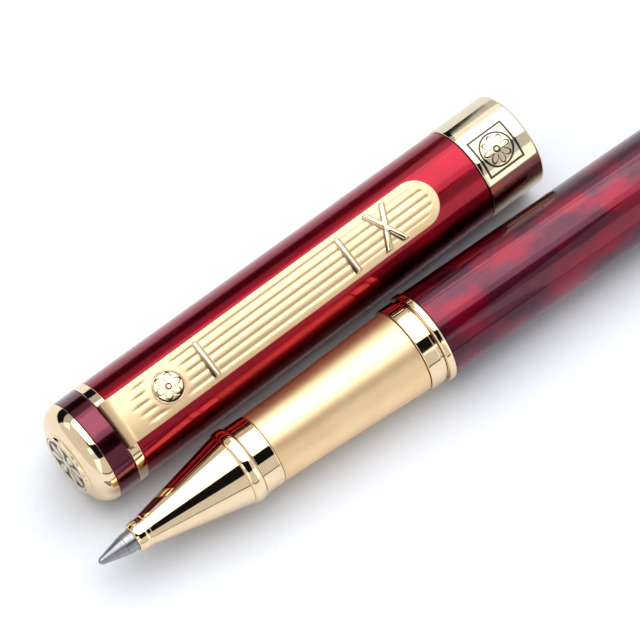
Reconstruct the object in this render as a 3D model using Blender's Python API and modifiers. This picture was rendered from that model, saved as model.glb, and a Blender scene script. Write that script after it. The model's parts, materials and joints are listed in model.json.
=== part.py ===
"""Capped rollerball pen, lying open on a table with its cap beside it.

The pen lies along X with its writing point towards -X, and the table is z = 0. Turned pieces
are drawn as (radius, station) profiles in millimetres. A pen station is measured from the
writing point towards the barrel's end, and a cap station from the cap's closed end towards
its mouth.
"""

import math

import bmesh
import bpy

MM = 0.001
SEGMENTS = 32
SMALL_SEGMENTS = 16
WELD = 1e-6

# Clearances, all in millimetres
SEAT_GAP = 0.04        # between two faces that meet end to end
SLIP = 0.05            # radial, between two pieces that are pressed or glued together
RUN = 0.10             # radial, between two pieces that turn or slide on each other
BALL_PLAY = 0.03       # around the writing ball in its socket
EDGE = 0.12            # chamfer on the outer edges of the rings

# Refill: a standard metal rollerball cartridge
REFILL_R = 3.05
REFILL_PLAY = 0.15
REFILL_SKIN = 0.30
BALL_R = 0.35
BALL_OUT = 0.24
TIP_MOUTH_R = 0.39
TIP_CONE_R = 1.16
TIP_CONE_LENGTH = 3.20
TIP_R = 1.28
TIP_SHANK_R = 0.95
TIP_SHANK_LENGTH = 3.6
NECK_R = 1.62
FEED_R = 0.35
REFILL_SPIGOT = 3.0
REFILL_HEAD = 1.45
SOCKET_DEPTH = 0.805   # straight part of the ball's socket
FEED_MOUTH = 1.115     # where the feed channel meets the socket's cone
BALL_PINCH = 0.005     # the rim is turned in by this much over the ball
COLLAR_SETBACK = 1.30  # from where the point leaves the nose to the collar
COLLAR_LAND = 0.60
COLLAR_STEP = 0.35
FEED_REACH = 0.50      # the feed rod's end inside the reservoir
RESERVOIR_SHORT = 2.50
PLUG_SPACE = 0.50

# Nose and grip
TIP_OUT = 4.62
NOSE_LIP_R = 1.80
NOSE_LIP_LENGTH = 1.76
NOSE_STEP_LENGTH = 0.40
NOSE_STEP_RISE = 0.14
NOSE_CONE_LENGTH = 11.32
NOSE_WALL = 0.56
NOSE_LIP_EDGE = 0.22
SEAT_CLEARANCE = 0.03  # between the collar and its seat in the nose
BEAD_LENGTH = 1.56
BEAD_RISE = 0.27
CORE_WALL = 0.42
CORE_SHORT = 0.75      # the core ends this far in front of the bead
BAND_WALL = 0.69
BAND_LENGTH = 2.48
GRIP_LENGTH = 19.70
GRIP_FLARE = 0.80
GRIP_FLARE_POWER = 1.25
GRIP_STEP = 0.04
SNAP_LENGTH = 2.24
SNAP_STEP = 0.25
SNAP_GROOVE = 0.22
TRIM_LENGTH = 0.93
TRIM_STEP = 0.35

# Thread between the section and the barrel, cut as plain cylinders
SHANK_STEP = 0.63
SHANK_LENGTH = 7.8
SHANK_EDGE = 0.40
BUSH_WALL = 0.60
BUSH_LENGTH = 9.4

# Barrel
BARREL_WALL = 0.515
BARREL_LENGTH = 66.5
BARREL_PARALLEL = 30.0
BARREL_TAPER = 0.72
BELLY_PLACE = 0.55     # share of the taper's length and depth at its middle point
BELLY_DEPTH = 0.40
BORE_LEAD = 2.0
END_RING_LENGTH = 1.50
END_RING_STEP = 0.16
END_RING_EDGE = (0.15, 0.30)
END_CAP_LENGTH = 4.70
END_CAP_FLAT_R = 2.60
END_SPIGOT = 4.5
SPIGOT_ROOM = 1.0
END_WALL = 2.40
SPRING_LENGTH = 5.05
SPRING_R = 2.40
SPRING_WIRE_R = 0.18
SPRING_TURNS = 4

# Cap
CAP_SPARE = 20.30      # closed end to the writing point, when the cap is on
CAP_PLAY = 0.08
CAP_WALL = 0.45
CAP_TAPER = 0.33
DOME_LENGTH = 2.65
DOME_FLAT_R = 3.90
DOME_EDGE = 0.35
DISC_DEPTH = 0.40
DISC_R = 3.50
DOME_INSET = 0.02      # radial, from the clip ring to the dome
BAND_PROUD = 0.07      # radial, from the cap tube to the head band
SPIGOT_SHORT = 0.10
HEAD_BAND_LENGTH = 2.62
CLIP_RING_LENGTH = 1.22
CLIP_RING_STEP = 0.09
HEAD_SPIGOT_R = 4.50
STUD_R = 2.00
STUD_LENGTH = 5.50
TOP_PLUG_SHARE = 0.60
LIP_LENGTH = 7.55
LIP_STEP = 0.15
LIP_ROUND = 0.45
LIP_EDGE = ((0.10, 0.0), (0.04, 0.20))
LINER_WALL = 0.35
LINER_FLOOR = 1.40
NIB_ROOM = 1.30
LINER_SHORT = 6.0      # the liner stops this far inside the mouth

# Clip
CLIP_WIDTH = 5.75
CLIP_LENGTH = 45.40
CLIP_THICKNESS = 0.50
CLIP_RISE = 1.22       # outer face of the blade above the cap's head
CLIP_BEND = 0.55
CLIP_ROOT_DEPTH = 1.05
CLIP_ROOM = 0.12
CLIP_FOOT_LENGTH = 2.6
CLIP_FOOT_GAP = 0.08
CUT_SPARE = 2.0        # how far a cutter stands outside what it cuts

# How the cap lies beside the pen
CAP_FROM_POINT = 3.82
CAP_YAW = math.radians(2.20)
CLIP_ROLL = math.radians(18.6)
CAP_REST_GAP = 1.17

# Pen stations
NOSE_FRONT = TIP_OUT
CONE_FRONT = NOSE_FRONT + NOSE_LIP_LENGTH + NOSE_STEP_LENGTH
CONE_BACK = CONE_FRONT + NOSE_CONE_LENGTH
BEAD_BACK = CONE_BACK + BEAD_LENGTH
BAND_FRONT = BEAD_BACK + SEAT_GAP
BAND_BACK = BAND_FRONT + BAND_LENGTH
GRIP_FRONT = BAND_BACK + SEAT_GAP
GRIP_BACK = GRIP_FRONT + GRIP_LENGTH
SNAP_FRONT = GRIP_BACK + SEAT_GAP
SNAP_BACK = SNAP_FRONT + SNAP_LENGTH
TRIM_FRONT = SNAP_BACK + SEAT_GAP
TRIM_BACK = TRIM_FRONT + TRIM_LENGTH
BARREL_FRONT = TRIM_BACK + SEAT_GAP
BARREL_BACK = BARREL_FRONT + BARREL_LENGTH
END_RING_FRONT = BARREL_BACK + SEAT_GAP
END_RING_BACK = END_RING_FRONT + END_RING_LENGTH
END_CAP_FRONT = END_RING_BACK + SEAT_GAP
PEN_LENGTH = END_CAP_FRONT + END_CAP_LENGTH

# Pen radii, from the refill outwards
CORE_BORE = REFILL_R + REFILL_PLAY
CORE_R = CORE_BORE + CORE_WALL
BAND_R = CORE_R + SLIP + BAND_WALL
CONE_BACK_R = BAND_R
GRIP_FRONT_R = BAND_R - GRIP_STEP
GRIP_BACK_R = GRIP_FRONT_R + GRIP_FLARE
SNAP_R = GRIP_BACK_R + SNAP_STEP
TRIM_R = SNAP_R + TRIM_STEP
SHANK_R = CORE_R + SHANK_STEP
BUSH_BORE = SHANK_R + RUN
BUSH_R = BUSH_BORE + BUSH_WALL
BARREL_BORE = BUSH_R + SLIP
BARREL_R = BARREL_BORE + BARREL_WALL
BARREL_END_R = BARREL_R - BARREL_TAPER
BARREL_END_BORE = BARREL_BORE - BARREL_TAPER
END_SPIGOT_R = BARREL_END_BORE - SLIP
POCKET_R = REFILL_R + REFILL_PLAY + RUN
END_RING_R = BARREL_END_R + END_RING_STEP

# Bore of the nose: its wall is even along the cone, from the neck's bore to the core's
NOSE_STEP_R = NOSE_LIP_R + NOSE_STEP_RISE
NECK_BORE = NECK_R + REFILL_PLAY
CONE_SLOPE = (CONE_BACK_R - NOSE_STEP_R) / NOSE_CONE_LENGTH
BORE_TURN = CONE_FRONT + (NECK_BORE + NOSE_WALL - NOSE_STEP_R) / CONE_SLOPE
CONE_BORE_BACK = CONE_FRONT + (CORE_BORE + NOSE_WALL - NOSE_STEP_R) / CONE_SLOPE

# Refill stations
COLLAR_FRONT = TIP_OUT + COLLAR_SETBACK
TIP_SHOULDER = COLLAR_FRONT - SEAT_GAP
CORE_FRONT = CONE_BACK - CORE_SHORT
NOSE_BORE_BACK = CORE_FRONT - SEAT_GAP
TUBE_FRONT = CONE_BORE_BACK + COLLAR_LAND
SPRING_BACK = PEN_LENGTH - END_WALL
SPRING_FRONT = SPRING_BACK - SPRING_LENGTH
REFILL_BACK = SPRING_FRONT - SEAT_GAP
TUBE_BACK = REFILL_BACK - REFILL_HEAD - SEAT_GAP
RESERVOIR_R = REFILL_R - REFILL_SKIN - SLIP

# Cap stations and radii
CAP_LENGTH = CAP_SPARE + TRIM_FRONT
HEAD_BAND_FRONT = DOME_LENGTH + SEAT_GAP
HEAD_BAND_BACK = HEAD_BAND_FRONT + HEAD_BAND_LENGTH
CLIP_RING_FRONT = HEAD_BAND_BACK + SEAT_GAP
CLIP_RING_BACK = CLIP_RING_FRONT + CLIP_RING_LENGTH
CAP_TUBE_FRONT = CLIP_RING_BACK + SEAT_GAP
LIP_FRONT = CAP_LENGTH - LIP_LENGTH
CAP_TUBE_BACK = LIP_FRONT - SEAT_GAP
CAP_BORE = SNAP_R + CAP_PLAY
CAP_MOUTH_R = CAP_BORE + CAP_WALL
CAP_HEAD_R = CAP_MOUTH_R + CAP_TAPER
LIP_R = CAP_MOUTH_R + LIP_STEP
CLIP_RING_R = CAP_HEAD_R + CLIP_RING_STEP
DOME_R = CLIP_RING_R - DOME_INSET
LINER_R = CAP_BORE - SLIP
LINER_FRONT = CAP_SPARE - NIB_ROOM - LINER_FLOOR
LINER_BACK = CAP_LENGTH - LINER_SHORT
TOP_PLUG_BACK = CAP_TUBE_FRONT + (LINER_FRONT - CAP_TUBE_FRONT) * TOP_PLUG_SHARE


def cap_radius(station):
    """Outer radius of the cap behind its clip ring."""
    if station > CAP_TUBE_BACK:
        return LIP_R
    share = (station - CAP_TUBE_FRONT) / (CAP_TUBE_BACK - CAP_TUBE_FRONT)
    return CAP_HEAD_R - CAP_TAPER * share


# Resting places
PEN_AXIS_Z = TRIM_R
CAP_PITCH = math.atan((CLIP_RING_R - LIP_R) / (CAP_LENGTH - LIP_ROUND - CLIP_RING_FRONT))
CAP_AT_TRIM = (TRIM_FRONT - CAP_FROM_POINT) / math.cos(CAP_YAW)
CAP_END_Y = (TRIM_R + cap_radius(CAP_AT_TRIM) + CAP_REST_GAP) - CAP_AT_TRIM * math.sin(CAP_YAW)
CAP_END_Z = CLIP_RING_R + CLIP_RING_FRONT * math.sin(CAP_PITCH)
CAP_FAR_Y = CAP_END_Y + (CAP_LENGTH - LIP_ROUND) * math.sin(CAP_YAW) + LIP_R * math.cos(CAP_YAW)
ORIGIN_X = -PEN_LENGTH / 2
ORIGIN_Y = -(CAP_FAR_Y - TRIM_R) / 2


def clear_scene():
    for item in list(bpy.data.objects):
        bpy.data.objects.remove(item)


def new_collection(name):
    collection = bpy.data.collections.new(name)
    bpy.context.scene.collection.children.link(collection)
    return collection


def material(name, colour, roughness, metallic):
    """A plain finish; colour is linear red, green and blue."""
    finish = bpy.data.materials.new(name)
    finish.use_nodes = True
    shader = finish.node_tree.nodes["Principled BSDF"]
    shader.inputs["Base Color"].default_value = (*colour, 1.0)
    shader.inputs["Roughness"].default_value = roughness
    shader.inputs["Metallic"].default_value = metallic
    finish.diffuse_color = (*colour, 1.0)
    return finish


def add_axis(name, collection, location, rotation):
    axis = bpy.data.objects.new(name, None)
    axis.empty_display_size = 0.01
    axis.location = [value * MM for value in location]
    axis.rotation_euler = rotation
    collection.objects.link(axis)
    return axis


def add_piece(name, mesh, collection, parent, finish):
    piece = bpy.data.objects.new(name, mesh)
    piece.parent = parent
    if finish:
        mesh.materials.append(finish)
    collection.objects.link(piece)
    return piece


def turned(name, profile, collection, parent, finish, segments=SEGMENTS, closed=True):
    """Spin a profile of (radius, station) points about the parent's Z axis.

    The profile runs along the outside from front to back and returns along the bore. A solid
    without a bore has closed=False, with its first and last points on the axis.
    """
    points = [(radius * MM, 0.0, station * MM) for radius, station in reversed(profile)]
    count = len(points)
    edges = [(i, (i + 1) % count) for i in range(count if closed else count - 1)]
    mesh = bpy.data.meshes.new(name)
    mesh.from_pydata(points, edges, [])
    piece = add_piece(name, mesh, collection, parent, finish)
    screw = piece.modifiers.new("Turn", "SCREW")
    screw.axis = "Z"
    screw.angle = 2 * math.pi
    screw.steps = segments
    screw.render_steps = segments
    screw.use_merge_vertices = True
    screw.merge_threshold = WELD
    screw.use_smooth_shade = True
    return piece


def arc(centre, radii, start, end, count):
    """Points on an elliptical arc; angles in degrees from the radius axis towards the station axis."""
    turn = [math.radians(start + (end - start) * i / count) for i in range(count + 1)]
    return [(centre[0] + radii[0] * math.cos(t), centre[1] + radii[1] * math.sin(t)) for t in turn]


def tube(radius, bore, front, back):
    """Profile of a plain sleeve."""
    return [(radius, front), (radius, back), (bore, back), (bore, front)]


def extruded(name, outline, half_thickness, collection):
    """A flat outline in its own XY plane, extruded both ways along Z, as a closed mesh."""
    curve = bpy.data.curves.new(name, "CURVE")
    curve.dimensions = "2D"
    curve.fill_mode = "BOTH"
    curve.extrude = half_thickness * MM
    spline = curve.splines.new("POLY")
    spline.points.add(len(outline) - 1)
    for point, (x, y) in zip(spline.points, outline):
        point.co = (x * MM, y * MM, 0.0, 1.0)
    spline.use_cyclic_u = True
    return curve_to_mesh(name, curve, collection)


def curve_to_mesh(name, curve, collection):
    guide = bpy.data.objects.new(name + "_curve", curve)
    collection.objects.link(guide)
    graph = bpy.context.evaluated_depsgraph_get()
    mesh = bpy.data.meshes.new_from_object(guide.evaluated_get(graph))
    mesh.name = name
    work = bmesh.new()
    work.from_mesh(mesh)
    bmesh.ops.remove_doubles(work, verts=work.verts, dist=WELD)
    bmesh.ops.recalc_face_normals(work, faces=work.faces)
    work.to_mesh(mesh)
    work.free()
    bpy.data.objects.remove(guide)
    return mesh


def as_cutter(piece):
    piece.hide_render = True
    piece.display_type = "WIRE"
    return piece


def cut(piece, cutter, operation="DIFFERENCE"):
    boolean = piece.modifiers.new("Cut " + cutter.name, "BOOLEAN")
    boolean.operation = operation
    boolean.object = cutter
    boolean.solver = "EXACT"


def make_refill(parts, axis, finishes):
    steel, collar, ink = finishes["steel"], finishes["white_plastic"], finishes["ink_fibre"]
    socket_r = BALL_R + BALL_PLAY
    tip = [
        (TIP_MOUTH_R, BALL_OUT), (TIP_CONE_R, TIP_CONE_LENGTH), (TIP_R, TIP_OUT), (TIP_R, TIP_SHOULDER),
        (TIP_SHANK_R, TIP_SHOULDER), (TIP_SHANK_R, TIP_SHOULDER + TIP_SHANK_LENGTH),
        (FEED_R, TIP_SHOULDER + TIP_SHANK_LENGTH), (FEED_R, FEED_MOUTH),
        (socket_r, SOCKET_DEPTH), (socket_r, BALL_R), (BALL_R - BALL_PINCH, BALL_OUT),
    ]
    turned("refill_tip", tip, parts, axis, steel, SMALL_SEGMENTS)

    mesh = bpy.data.meshes.new("refill_ball")
    work = bmesh.new()
    bmesh.ops.create_uvsphere(work, u_segments=SMALL_SEGMENTS, v_segments=10, radius=BALL_R * MM)
    work.to_mesh(mesh)
    work.free()
    mesh.shade_smooth()
    ball = add_piece("refill_ball", mesh, parts, axis, finishes["carbide"])
    ball.location = (0.0, 0.0, BALL_R * MM)

    shank_end = TIP_SHOULDER + TIP_SHANK_LENGTH
    land_front = TUBE_FRONT - COLLAR_LAND
    feed_back = TUBE_FRONT + REFILL_SPIGOT + FEED_REACH
    collar_profile = [
        (NECK_R, COLLAR_FRONT), (NECK_R, BORE_TURN), (REFILL_R - COLLAR_STEP, land_front),
        (REFILL_R, land_front), (REFILL_R, TUBE_FRONT - SEAT_GAP),
        (RESERVOIR_R, TUBE_FRONT - SEAT_GAP), (RESERVOIR_R, TUBE_FRONT + REFILL_SPIGOT),
        (FEED_R + RUN, TUBE_FRONT + REFILL_SPIGOT), (FEED_R + RUN, shank_end + SEAT_GAP),
        (TIP_SHANK_R + SLIP, shank_end + SEAT_GAP), (TIP_SHANK_R + SLIP, COLLAR_FRONT),
    ]
    turned("refill_collar", collar_profile, parts, axis, collar, SMALL_SEGMENTS)
    turned("refill_feed_rod", [
        (0.0, shank_end + SEAT_GAP), (FEED_R, shank_end + SEAT_GAP),
        (FEED_R, feed_back), (0.0, feed_back),
    ], parts, axis, ink, SMALL_SEGMENTS, closed=False)
    turned("refill_tube", tube(REFILL_R, REFILL_R - REFILL_SKIN, TUBE_FRONT, TUBE_BACK),
           parts, axis, steel)
    reservoir_front = feed_back + SEAT_GAP
    reservoir_back = TUBE_BACK - RESERVOIR_SHORT
    plug_front = reservoir_back + PLUG_SPACE
    turned("refill_reservoir", [
        (0.0, reservoir_front), (RESERVOIR_R, reservoir_front),
        (RESERVOIR_R, reservoir_back), (0.0, reservoir_back),
    ], parts, axis, ink, SMALL_SEGMENTS, closed=False)
    turned("refill_end_plug", [
        (0.0, plug_front), (RESERVOIR_R, plug_front),
        (RESERVOIR_R, TUBE_BACK + SEAT_GAP), (REFILL_R, TUBE_BACK + SEAT_GAP),
        (REFILL_R, REFILL_BACK), (0.0, REFILL_BACK),
    ], parts, axis, collar, closed=False)


def make_section(parts, axis, finishes):
    gold, satin = finishes["polished_gold"], finishes["satin_gold"]
    seat = COLLAR_FRONT - SEAT_GAP - SEAT_CLEARANCE
    bead_centre = (BAND_R, CONE_BACK + BEAD_LENGTH / 2)
    nose = [
        (NOSE_LIP_R - NOSE_LIP_EDGE, NOSE_FRONT), (NOSE_LIP_R, NOSE_FRONT + NOSE_LIP_EDGE),
        (NOSE_LIP_R, NOSE_FRONT + NOSE_LIP_LENGTH), (NOSE_STEP_R, NOSE_FRONT + NOSE_LIP_LENGTH),
        (NOSE_STEP_R, CONE_FRONT), (CONE_BACK_R, CONE_BACK),
        *arc(bead_centre, (BEAD_RISE, BEAD_LENGTH / 2), -70, 90, 5),
        (CORE_R + SLIP, BEAD_BACK), (CORE_R + SLIP, NOSE_BORE_BACK), (CORE_BORE, NOSE_BORE_BACK),
        (CORE_BORE, CONE_BORE_BACK), (NECK_BORE, BORE_TURN), (NECK_BORE, seat),
        (TIP_R + RUN, seat), (TIP_R + RUN, NOSE_FRONT),
    ]
    turned("nose_cone", nose, parts, axis, gold)
    turned("front_ring", tube(BAND_R, CORE_R + SLIP, BAND_FRONT, BAND_BACK), parts, axis, gold)

    steps = 5
    flare = [
        (GRIP_FRONT_R + GRIP_FLARE * (i / steps) ** GRIP_FLARE_POWER, GRIP_FRONT + GRIP_LENGTH * i / steps)
        for i in range(steps + 1)
    ]
    turned("grip_sleeve", [*flare, (CORE_R + SLIP, GRIP_BACK), (CORE_R + SLIP, GRIP_FRONT)],
           parts, axis, satin)
    groove = SNAP_BACK - 2 * SNAP_GROOVE
    turned("snap_ring", [
        (SNAP_R - EDGE, SNAP_FRONT), (SNAP_R, SNAP_FRONT + EDGE), (SNAP_R, groove),
        (SNAP_R - SNAP_GROOVE, groove + EDGE), (SNAP_R - SNAP_GROOVE, SNAP_BACK),
        (CORE_R + SLIP, SNAP_BACK), (CORE_R + SLIP, SNAP_FRONT),
    ], parts, axis, gold)
    shank_back = TRIM_FRONT + SHANK_LENGTH
    turned("section_core", [
        (CORE_R, CORE_FRONT), (CORE_R, TRIM_FRONT), (SHANK_R, TRIM_FRONT),
        (SHANK_R, shank_back - SHANK_EDGE), (SHANK_R - SHANK_EDGE, shank_back),
        (CORE_BORE, shank_back), (CORE_BORE, CORE_FRONT),
    ], parts, axis, finishes["brass"])
    turned("trim_ring", [
        (TRIM_R - EDGE, TRIM_FRONT), (TRIM_R, TRIM_FRONT + EDGE), (TRIM_R, TRIM_BACK - EDGE),
        (TRIM_R - EDGE, TRIM_BACK), (BUSH_BORE, TRIM_BACK), (BUSH_BORE, TRIM_FRONT),
    ], parts, axis, gold)


def make_spring(parts, axis, finishes):
    """A compression spring whose coil closes by one wire radius at each end."""
    points_per_turn = 14
    total = SPRING_TURNS * points_per_turn
    length = SPRING_LENGTH - 2 * SPRING_WIRE_R
    curve = bpy.data.curves.new("refill_spring", "CURVE")
    curve.dimensions = "3D"
    curve.bevel_depth = SPRING_WIRE_R * MM
    curve.bevel_resolution = 1
    curve.use_fill_caps = True
    spline = curve.splines.new("POLY")
    spline.points.add(total)
    for i, point in enumerate(spline.points):
        turn = 2 * math.pi * i / points_per_turn
        station = SPRING_FRONT + SPRING_WIRE_R + length * i / total
        place = (SPRING_R * math.cos(turn), SPRING_R * math.sin(turn), station)
        point.co = [*(value * MM for value in place), 1.0]
    mesh = curve_to_mesh("refill_spring", curve, parts)
    add_piece("refill_spring", mesh, parts, axis, finishes["steel"])


def make_barrel(parts, axis, finishes):
    turned("barrel_thread_bush",
           tube(BUSH_R, BUSH_BORE, BARREL_FRONT + SEAT_GAP, BARREL_FRONT + SEAT_GAP + BUSH_LENGTH),
           parts, axis, finishes["brass"])
    taper_front = BARREL_FRONT + BARREL_PARALLEL
    turned("barrel_tube", [
        (BARREL_R, BARREL_FRONT), (BARREL_R, taper_front),
        (BARREL_R - BARREL_TAPER * BELLY_DEPTH, taper_front + (BARREL_BACK - taper_front) * BELLY_PLACE),
        (BARREL_END_R, BARREL_BACK), (BARREL_END_BORE, BARREL_BACK),
        (BARREL_END_BORE, BARREL_BACK - END_SPIGOT - SPIGOT_ROOM),
        (BARREL_END_BORE, taper_front), (BARREL_BORE, taper_front - BORE_LEAD), (BARREL_BORE, BARREL_FRONT),
    ], parts, axis, finishes["marbled_lacquer"])
    drop, run = END_RING_EDGE
    turned("barrel_end_ring", [
        (END_RING_R - drop, END_RING_FRONT), (END_RING_R, END_RING_FRONT + run),
        (END_RING_R, END_RING_BACK - run), (END_RING_R - drop, END_RING_BACK),
        (END_SPIGOT_R + SLIP, END_RING_BACK), (END_SPIGOT_R + SLIP, END_RING_FRONT),
    ], parts, axis, finishes["polished_gold"])
    dome = arc((END_CAP_FLAT_R, END_CAP_FRONT), (BARREL_END_R - END_CAP_FLAT_R, END_CAP_LENGTH), 0, 90, 6)
    spigot_front = BARREL_BACK - END_SPIGOT
    turned("barrel_end_cap", [
        (END_SPIGOT_R, spigot_front), (END_SPIGOT_R, END_CAP_FRONT), *dome, (0.0, PEN_LENGTH),
        (0.0, SPRING_BACK + SEAT_GAP), (POCKET_R, SPRING_BACK + SEAT_GAP), (POCKET_R, spigot_front),
    ], parts, axis, finishes["marbled_lacquer"])
    make_spring(parts, axis, finishes)


def make_cap(parts, cutters, axis, finishes):
    gold, lacquer = finishes["polished_gold"], finishes["red_lacquer"]
    dome = arc((DOME_FLAT_R, DOME_LENGTH), (DOME_R - DOME_FLAT_R, DOME_LENGTH - DOME_EDGE), -90, 0, 6)
    spigot_back = CLIP_RING_BACK - SPIGOT_SHORT
    turned("cap_finial", [
        (0.0, DISC_DEPTH), (DISC_R + SLIP, DISC_DEPTH), (DISC_R + SLIP, 0.0), (DOME_FLAT_R, 0.0),
        *dome, (HEAD_SPIGOT_R, DOME_LENGTH), (HEAD_SPIGOT_R, spigot_back), (STUD_R, spigot_back),
        (STUD_R, spigot_back + STUD_LENGTH), (0.0, spigot_back + STUD_LENGTH),
    ], parts, axis, gold, closed=False)
    turned("finial_disc", [
        (0.0, 0.0), (DISC_R, 0.0), (DISC_R, DISC_DEPTH - SEAT_GAP), (0.0, DISC_DEPTH - SEAT_GAP),
    ], parts, axis, gold, closed=False)
    band_r, band_bore = CAP_HEAD_R + BAND_PROUD, HEAD_SPIGOT_R + SLIP
    turned("cap_head_band", tube(band_r, band_bore, HEAD_BAND_FRONT, HEAD_BAND_BACK),
           parts, axis, finishes["dark_lacquer"])
    ring = turned("clip_ring", tube(CLIP_RING_R, HEAD_SPIGOT_R + SLIP, CLIP_RING_FRONT, CLIP_RING_BACK),
                  parts, axis, gold)
    cut(ring, make_clip_notch(cutters, axis))
    turned("cap_top_plug", tube(CAP_BORE - SLIP, STUD_R + SLIP, CAP_TUBE_FRONT, TOP_PLUG_BACK),
           parts, axis, finishes["brass"])
    turned("cap_tube", [
        (CAP_HEAD_R, CAP_TUBE_FRONT), (cap_radius(CAP_TUBE_BACK), CAP_TUBE_BACK),
        (CAP_BORE, CAP_TUBE_BACK), (CAP_BORE, CAP_TUBE_FRONT),
    ], parts, axis, lacquer)
    rim = arc((LIP_R - LIP_ROUND, CAP_LENGTH - LIP_ROUND), (LIP_ROUND, LIP_ROUND), 0, 90, 4)
    turned("cap_lip_band", [
        *[(LIP_R - drop, LIP_FRONT + run) for drop, run in LIP_EDGE], *rim,
        (CAP_BORE, CAP_LENGTH), (CAP_BORE, LIP_FRONT),
    ], parts, axis, gold)
    liner_bore = LINER_R - LINER_WALL
    turned("cap_inner_sleeve", [
        (0.0, LINER_FRONT), (LINER_R, LINER_FRONT), (LINER_R, LINER_BACK), (liner_bore, LINER_BACK),
        (liner_bore, LINER_FRONT + LINER_FLOOR), (0.0, LINER_FRONT + LINER_FLOOR),
    ], parts, axis, finishes["black_plastic"], closed=False)


def clip_axis_turn():
    """Turn about the cap's axis that brings a piece's own +X to the clip's side."""
    return math.pi + CLIP_ROLL


def make_clip_notch(cutters, axis):
    """Slot in the clip ring for the clip's root, open at the ring's front face."""
    depth = CLIP_ROOT_DEPTH + 2 * CLIP_ROOM
    length = CLIP_THICKNESS + 2 * CLIP_ROOM + CUT_SPARE
    size = (depth + CUT_SPARE, CLIP_WIDTH + 2 * CLIP_ROOM, length)
    centre = (CLIP_RING_R - depth + size[0] / 2, 0.0,
              CLIP_RING_FRONT + CLIP_THICKNESS + 2 * CLIP_ROOM - length / 2)
    mesh = bpy.data.meshes.new("clip_notch")
    work = bmesh.new()
    bmesh.ops.create_cube(work, size=1.0)
    bmesh.ops.scale(work, vec=[value * MM for value in size], verts=work.verts)
    bmesh.ops.translate(work, vec=[value * MM for value in centre], verts=work.verts)
    work.to_mesh(mesh)
    work.free()
    notch = as_cutter(add_piece("clip_notch", mesh, cutters, axis, None))
    notch.rotation_euler = (0.0, 0.0, clip_axis_turn())
    return notch


def make_clip(parts, cutters, axis, finishes):
    """The blade is a bent side profile, trimmed to its outline as seen from above."""
    front = CLIP_RING_FRONT + CLIP_ROOM / 2
    back = front + CLIP_LENGTH
    top = CAP_HEAD_R + CLIP_RISE
    under = top - CLIP_THICKNESS
    foot = back - CLIP_WIDTH / 2
    foot_r = cap_radius(back) + CLIP_FOOT_GAP
    outer_bend = CLIP_BEND + CLIP_THICKNESS
    side = [
        (CLIP_RING_R - CLIP_ROOT_DEPTH, front),
        *arc((top - outer_bend, front + outer_bend), (outer_bend,) * 2, 270, 360, 5),
        (top, back), (under, back),
        (under, foot + CLIP_FOOT_LENGTH / 2), (foot_r, foot + CLIP_FOOT_LENGTH / 4),
        (foot_r, foot - CLIP_FOOT_LENGTH / 4), (under, foot - CLIP_FOOT_LENGTH / 2),
        *arc((under - CLIP_BEND, front + outer_bend), (CLIP_BEND,) * 2, 360, 270, 4),
        (CLIP_RING_R - CLIP_ROOT_DEPTH, front + CLIP_THICKNESS),
    ]
    side_mesh = extruded("clip_blade", side, CLIP_WIDTH, cutters)
    blade = add_piece("clip_blade", side_mesh, parts, axis, finishes["satin_gold"])
    half = CLIP_WIDTH / 2
    end = arc((0.0, back - half), (half, half), 0, 180, 12)
    plan = [(half, front - CUT_SPARE), *end, (-half, front - CUT_SPARE)]
    plan_mesh = extruded("clip_outline", plan, 2 * CAP_HEAD_R, cutters)
    outline = as_cutter(add_piece("clip_outline", plan_mesh, cutters, axis, None))
    # The side profile's own X, Y and Z are radius, station and width
    blade.rotation_euler = (math.pi / 2, 0.0, clip_axis_turn())
    # The outline's own X, Y and Z are width, station and radius
    outline.rotation_euler = (math.pi / 2, 0.0, clip_axis_turn() + math.pi / 2)
    cut(blade, outline, "INTERSECT")


def main():
    clear_scene()
    parts = new_collection("rollerball_pen")
    cutters = new_collection("cutters")
    finishes = {
        "polished_gold": material("polished_gold", (0.86, 0.64, 0.38), 0.08, 1.0),
        "satin_gold": material("satin_gold", (0.80, 0.60, 0.34), 0.40, 1.0),
        "red_lacquer": material("red_lacquer", (0.30, 0.01, 0.03), 0.12, 0.0),
        "dark_lacquer": material("dark_lacquer", (0.06, 0.005, 0.015), 0.12, 0.0),
        "marbled_lacquer": material("marbled_lacquer", (0.20, 0.01, 0.03), 0.12, 0.0),
        "brass": material("brass", (0.62, 0.45, 0.20), 0.30, 1.0),
        "steel": material("steel", (0.55, 0.55, 0.56), 0.30, 1.0),
        "carbide": material("carbide", (0.30, 0.30, 0.32), 0.15, 1.0),
        "white_plastic": material("white_plastic", (0.75, 0.75, 0.72), 0.45, 0.0),
        "black_plastic": material("black_plastic", (0.02, 0.02, 0.02), 0.45, 0.0),
        "ink_fibre": material("ink_fibre", (0.02, 0.03, 0.08), 0.90, 0.0),
    }
    pen_axis = add_axis("pen_axis", parts, (ORIGIN_X, ORIGIN_Y, PEN_AXIS_Z), (0.0, math.pi / 2, 0.0))
    cap_place = (ORIGIN_X + CAP_FROM_POINT, ORIGIN_Y + CAP_END_Y, CAP_END_Z)
    cap_axis = add_axis("cap_axis", parts, cap_place, (0.0, math.pi / 2 + CAP_PITCH, CAP_YAW))
    make_refill(parts, pen_axis, finishes)
    make_section(parts, pen_axis, finishes)
    make_barrel(parts, pen_axis, finishes)
    make_cap(parts, cutters, cap_axis, finishes)
    make_clip(parts, cutters, cap_axis, finishes)


main()
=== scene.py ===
"""Rollerball pen lying open beside its cap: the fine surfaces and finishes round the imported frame.

Sizes are in millimetres and angles in radians unless a name says otherwise. A station is measured
along a turning axis: from the writing point on the pen, and from the closed end on the cap.
"""
import json
import math

import bpy
import numpy as np
from mathutils import Matrix, Vector


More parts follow.
